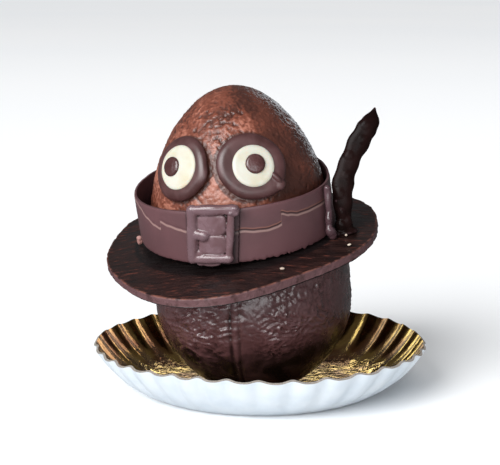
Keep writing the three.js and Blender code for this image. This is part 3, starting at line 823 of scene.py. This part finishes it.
# ---------------------------------------------------------------- the eyes
# Each eye is three poured drops set one on another while soft: a dark disc pressed onto the
# egg, a white chocolate drop and a small dark pupil.
EYES = {
    "left": {"azimuth": -29.4, "height": 24.6, "disc": 15.6, "white": (-0.1, 0.3),
             "white_radius": 10.9, "pupil": (-3.2, -0.1), "lumps": (),
             "lobes": ((1.5, 84, 14), (0.8, 180, 30), (0.9, -25, 30))},
    "right": {"azimuth": 24.6, "height": 26.4, "disc": 16.3, "white": (1.6, -0.2),
              "white_radius": 10.2, "pupil": (2.4, 0.5),
              "lumps": (((11.7, -6.8, 2.8), (1.4, 3.6, 1.5), -40), ((13.2, -10.2, 1.2), (3, 3, 1.8), -40)),
              "lobes": ((1.9, 46, 19), (1.3, 95, 28), (-1, -45, 30))},
}
DISC_THICK, DISC_SUNK = 3, 1.2
WHITE_THICK = 1.5
PUPIL_RADIUS, PUPIL_THICK = 4.8, 1.6
EYE_BROWN = (59, 34, 33)
EYE_SHEEN = (75, 47, 47)
WHITE_CREAM = (180, 178, 166)
WHITE_YELLOW = (174, 167, 144)


def seat_on_egg(azimuth, height):
    """A frame on the pointed half egg: X to the side, Y up the egg, Z out of it."""
    def girth(at):
        rise = at / UPPER_EGG["above"]
        return UPPER_EGG["radius"] * sqrt(1 - rise * rise) * (1 - UPPER_EGG["taper"] * rise)
    reach, slope = girth(height), (girth(height + 0.1 * MM) - girth(height)) / (0.1 * MM)
    side = Vector((cos(azimuth), sin(azimuth), 0))
    out = Vector((sin(azimuth), -cos(azimuth), -slope)).normalized()
    axes = Matrix((side, out.cross(side), out)).transposed().to_4x4()
    where = Vector((reach * sin(azimuth), -reach * cos(azimuth), height))
    return UPPER_PLACE @ Matrix.Translation(where) @ axes


def poured_drop(radius, thick, roll, dome, centre=(0, 0), foot=0.0, lobes=(), unevenness=0.02):
    """A drop of chocolate, in mm: flat below, rolled over at its edge and low domed above."""
    edge = [(radius - roll * (1 - cos(t)), thick * (0.3 + 0.7 * sin(t)))
            for t in (0.5 * pi * step / 9 for step in range(10))]
    top = [((radius - roll) * (1 - t), thick + dome * (1 - (1 - t) ** 2)) for t in (0.15, 0.4, 0.7, 1)]
    profile = [(0, 0), (radius - 0.3 * thick, 0)] + edge + top
    bm = spun([(r * MM, z * MM) for r, z in profile], 128)
    for vert in bm.verts:
        azimuth = azimuth_of(vert.co)
        reach = hypot(vert.co.x, vert.co.y)
        swell = sum(swelling(lobe, azimuth) for lobe in lobes)
        swell += radius * unevenness * noise.noise(Vector((sin(azimuth), cos(azimuth), radius)) * 1.3)
        reach *= 1 + swell / radius
        vert.co.x = reach * sin(azimuth) + centre[0] * MM
        vert.co.y = -reach * cos(azimuth) + centre[1] * MM
        vert.co.z += foot * MM
    return bm


def white_material():
    material, sockets, wire = new_material("white_chocolate", IOR=1.46, Subsurface_Weight=0.15,
                                           Subsurface_Scale=2 * MM)
    cloud = wire.speckle(110, 3, distortion=0.4)
    feed(sockets, Base_Color=cloud.ramp(0.4, 0.75).mix(paint(*WHITE_CREAM), paint(*WHITE_YELLOW)),
         Roughness=cloud.ramp(0.3, 0.7, 0.4, 0.55),
         Normal=wire.bump(wire.speckle(700, 3), 0.1, 0.2 * MM))
    return material


eye_chocolate = satin("eye_chocolate", EYE_BROWN, EYE_SHEEN, (0.32, 0.44), level=0.5)
pupil_chocolate = satin("pupil_chocolate", EYE_BROWN, EYE_SHEEN, (0.18, 0.3), 0.8)
white_chocolate = white_material()
egg_skin = pointed_half.data
for side, eye in EYES.items():
    seat = seat_on_egg(radians(eye["azimuth"]), eye["height"] * MM)
    off_seat = seat.inverted()
    for vert, relief_and_shading in zip(egg_skin.vertices, egg_skin.attributes["relief"].data):
        spot = off_seat @ vert.co / MM         # shade is painted on the egg round a disc
        if abs(spot.z) < 9 and spot.xy.length < eye["disc"] + 4:
            relief_and_shading.value -= 0.7 * smoothstep(spot.xy.length, eye["disc"] + 1.6, eye["disc"] + 0.3)
    disc = poured_drop(eye["disc"], DISC_THICK + DISC_SUNK, 4.4, 0.2, foot=-DISC_SUNK, lobes=eye["lobes"])
    for centre, size, turn in eye["lumps"]:
        blob(disc, centre, size, Matrix.Rotation(radians(-turn), 4, "Z"))
    white = poured_drop(eye["white_radius"], WHITE_THICK, 2.4, 0.5, eye["white"], DISC_THICK - 0.4)
    pupil = poured_drop(PUPIL_RADIUS, PUPIL_THICK, 1.9, 0.3, eye["pupil"], DISC_THICK + WHITE_THICK - 0.3)
    drops = (("eye_disc", disc, eye_chocolate, "eye_chocolate"),
             ("eye_white", white, white_chocolate, "white_chocolate"),
             ("pupil", pupil, pupil_chocolate, "eye_chocolate"))
    for kind, bm, material, slot in drops:
        bmesh.ops.transform(bm, matrix=seat, verts=bm.verts)
        drop = finished(f"poured_{kind}_{side}", bm, material)
        if kind == "eye_disc":
            fused(drop, 0.35 * MM, 3)
        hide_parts(f"{kind}_{side}")

# ---------------------------------------------------------------- crumbs
# Crumbs that fell while the figure was put together: one pink nugget by the band and a few
# white specks on the brim.
CRUMBS = (((-48.6, -9.9, 4.6), (1.5, 1.4, 2.6), "pink"), ((34.3, -47.9, 1.7), (1, 0.7, 0.5), "white"),
          ((57.9, -8, 2), (0.6, 0.6, 0.5), "white"), ((61.4, -19.4, 1.4), (0.9, 0.6, 0.5), "white"))
CRUMB_COLOURS = {"pink": ((136, 94, 88), (176, 142, 134)),
                 "white": ((190, 176, 160), (164, 146, 132))}

for index, (centre, size, colour) in enumerate(CRUMBS):
    bm = bmesh.new()
    blob(bm, centre, size)
    for vert in bm.verts:
        vert.co += noise.noise_vector(vert.co / (1.3 * MM)) * 0.36 * size[0] * MM
    bmesh.ops.transform(bm, matrix=HAT, verts=bm.verts)
    dull = satin(f"crumb_{index + 1}", *CRUMB_COLOURS[colour], (0.6, 0.8))
    crumb = finished(f"crumb_{index + 1}", bm, dull)

# ---------------------------------------------------------------- the table, the light and the camera
# A plain pale table under a broad soft sky, with a window in front and one on the left. The
# other lamps each reach one piece only: the foil, the paper, the table and the egg's far side.
TABLE_PALE = (250, 251, 252)
TABLE_CLOUD = (247, 249, 251)
TABLE_SIZE = 60.0
AIM = Vector((-0.004, -0.004, 0.075))
SUN_FROM, SUN_HEIGHT, SUN_SPREAD, SUN_STRENGTH = -24, 28, 40, 4.4
ROOM_COLOUR, ROOM_LIGHT = (0.95, 0.97, 1.0, 1), 0.16
CAMERA_PLACE = Vector((185.8, -766.7, 213.0)) * MM
CAMERA_DOWN, CAMERA_ROUND = 9.582, 14      # degrees
CAMERA_LENS, CAMERA_FILM = 113.06, 36


def table_material():
    material, sockets, wire = new_material("table_pale", Roughness=0.9, Specular_IOR_Level=0.0)
    cloud = wire.speckle(0.4, 2)
    feed(sockets, Base_Color=cloud.ramp(0.3, 0.7).mix(paint(*TABLE_PALE), paint(*TABLE_CLOUD)))
    return material


bm = bmesh.new()
bmesh.ops.create_grid(bm, x_segments=1, y_segments=1, size=TABLE_SIZE / 2)
table_mesh = bpy.data.meshes.new("table")
bm.to_mesh(table_mesh)
bm.free()
table_mesh.materials.append(table_material())
table = bpy.data.objects.new("table", table_mesh)
bpy.context.scene.collection.objects.link(table)
table.visible_glossy = False               # a matt table: no bright glare in foil and chocolate

WINDOWS = (  # azimuth, elevation, distance; width, height; watts; colour; what alone it lights
    ("window_right", 171, 20, 1.3, 0.3, 0.8, 2.4, (0.88, 0.94, 1.0), pointed_half),
    ("window_left", -48, 12, 1.3, 0.4, 0.9, 2.0, (0.86, 0.93, 1.0), None),
    ("window_front", 12, 7, 1.4, 1.2, 0.5, 8.5, (0.96, 0.98, 1.0), None),
    ("foil_glow_left", 158, 16, 1.3, 0.25, 0.5, 1.5, (1.0, 0.88, 0.8), case),
    ("foil_glow_right", -130, 15, 1.3, 0.4, 0.5, 2.4, (0.9, 1.0, 0.8), case),
    ("foil_glow_back", -165, 26, 1.3, 0.5, 0.25, 2.4, (0.95, 1.0, 0.8), case),
    ("paper_glow", 58, 12, 1.3, 0.5, 0.5, 7.5, (0.96, 0.98, 1.0), case),
    ("table_glow", 0, 85, 3.0, 4.0, 4.0, 40.0, (1.0, 1.0, 1.0), table),
)


def hang(lamp, azimuth, elevation, distance):
    """Hangs a lamp round the figure, aimed at its middle."""
    toward = Vector((sin(radians(azimuth)) * cos(radians(elevation)),
                     -cos(radians(azimuth)) * cos(radians(elevation)), sin(radians(elevation))))
    light = bpy.data.objects.new(lamp.name, lamp)
    bpy.context.scene.collection.objects.link(light)
    light.location = AIM + toward * distance
    light.rotation_euler = toward.to_track_quat("Z", "Y").to_euler()
    light.visible_camera = False
    return light


sky = bpy.data.lights.new("soft_sky", "SUN")
sky.angle = radians(SUN_SPREAD)
sky.energy = SUN_STRENGTH
hang(sky, SUN_FROM, SUN_HEIGHT, 2)
for name, azimuth, elevation, distance, width, height, watts, colour, lit in WINDOWS:
    window = bpy.data.lights.new(name, "AREA")
    window.shape = "RECTANGLE"
    window.size, window.size_y = width, height
    window.energy = watts
    window.color = colour
    lamp = hang(window, azimuth, elevation, distance)
    if lit:
        lamp.light_linking.receiver_collection = bpy.data.collections.new(name)
        lamp.light_linking.receiver_collection.objects.link(lit)

world = bpy.data.worlds.new("room")
bpy.context.scene.world = world
world.use_nodes = True
world.node_tree.nodes["Background"].inputs["Color"].default_value = ROOM_COLOUR
world.node_tree.nodes["Background"].inputs["Strength"].default_value = ROOM_LIGHT

camera_data = bpy.data.cameras.new("camera")
camera_data.lens = CAMERA_LENS
camera_data.sensor_width = CAMERA_FILM
camera = bpy.data.objects.new("camera", camera_data)
camera.location = CAMERA_PLACE
camera.rotation_euler = (radians(90 - CAMERA_DOWN), 0, radians(CAMERA_ROUND))
bpy.context.scene.collection.objects.link(camera)
bpy.context.scene.camera = camera
bpy.context.scene.view_settings.view_transform = "Standard"
